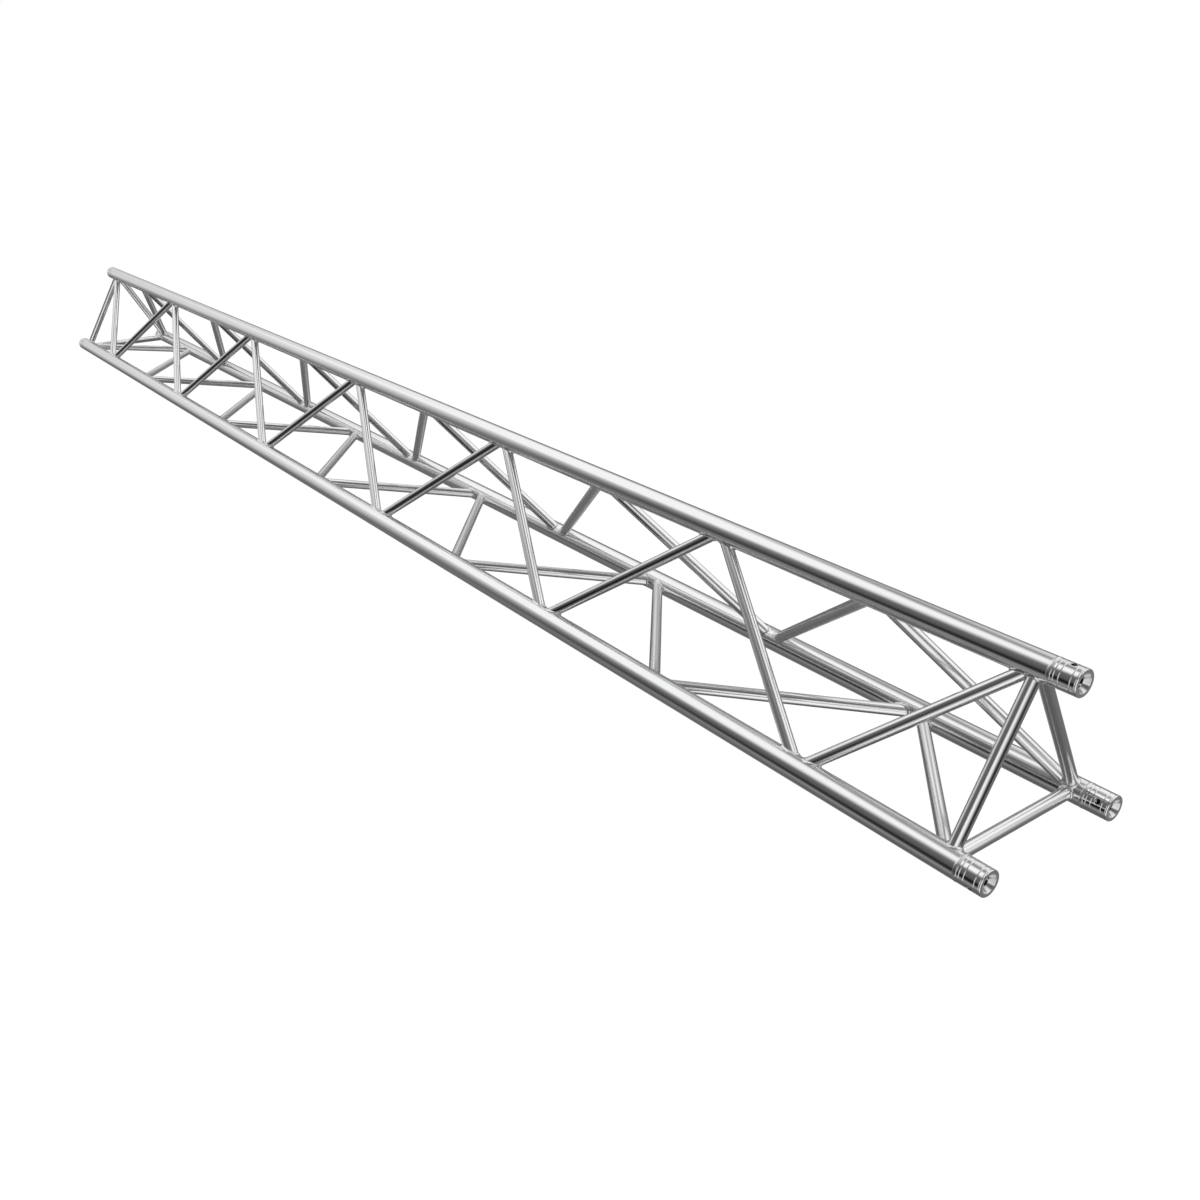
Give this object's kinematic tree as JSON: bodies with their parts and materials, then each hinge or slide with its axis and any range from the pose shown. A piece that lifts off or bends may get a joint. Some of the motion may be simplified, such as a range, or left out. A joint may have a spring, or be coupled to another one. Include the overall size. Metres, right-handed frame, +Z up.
{
  "type": "lighting truss section",
  "caption": "Straight triangular aluminium lighting truss with zigzag tube bracing between its chords and conical pin couplers in the chord ends.",
  "frame": {"origin": "halfway along the section and midway between the two lower chords, on the surface that they lie on", "axes": "+X along the section towards end a, +Y towards the back chord, +Z up through the top chord"},
  "size_m": [5, 0.4, 0.3531],
  "materials": {
    "chord_tube": "satin extruded tube",
    "brace_tube": "satin drawn tube",
    "coupler": "turned, bright"
  },
  "bodies": {
    "root": {"chord_top": "chord_tube", "coupler_top_a": "coupler", "coupler_top_b": "coupler", "chord_front": "chord_tube", "coupler_front_a": "coupler", "coupler_front_b": "coupler", "chord_back": "chord_tube", "coupler_back_a": "coupler", "coupler_back_b": "coupler", "front_diagonal_01": "brace_tube", "front_diagonal_02": "brace_tube", "front_diagonal_03": "brace_tube", "front_diagonal_04": "brace_tube", "front_diagonal_05": "brace_tube", "front_diagonal_06": "brace_tube", "front_diagonal_07": "brace_tube", "front_diagonal_08": "brace_tube", "front_diagonal_09": "brace_tube", "front_diagonal_10": "brace_tube", "front_diagonal_11": "brace_tube", "front_diagonal_12": "brace_tube", "front_end_post_a": "brace_tube", "front_end_post_b": "brace_tube", "rear_diagonal_01": "brace_tube", "rear_diagonal_02": "brace_tube", "rear_diagonal_03": "brace_tube", "rear_diagonal_04": "brace_tube", "rear_diagonal_05": "brace_tube", "rear_diagonal_06": "brace_tube", "rear_diagonal_07": "brace_tube", "rear_diagonal_08": "brace_tube", "rear_diagonal_09": "brace_tube", "rear_diagonal_10": "brace_tube", "rear_diagonal_11": "brace_tube", "rear_diagonal_12": "brace_tube", "rear_end_post_a": "brace_tube", "rear_end_post_b": "brace_tube", "bottom_diagonal_01": "brace_tube", "bottom_diagonal_02": "brace_tube", "bottom_diagonal_03": "brace_tube", "bottom_diagonal_04": "brace_tube", "bottom_diagonal_05": "brace_tube", "bottom_diagonal_06": "brace_tube", "bottom_diagonal_07": "brace_tube", "bottom_diagonal_08": "brace_tube", "bottom_diagonal_09": "brace_tube", "bottom_diagonal_10": "brace_tube", "bottom_diagonal_11": "brace_tube", "bottom_diagonal_12": "brace_tube", "bottom_end_post_a": "brace_tube", "bottom_end_post_b": "brace_tube"}
  },
  "joints": []
}
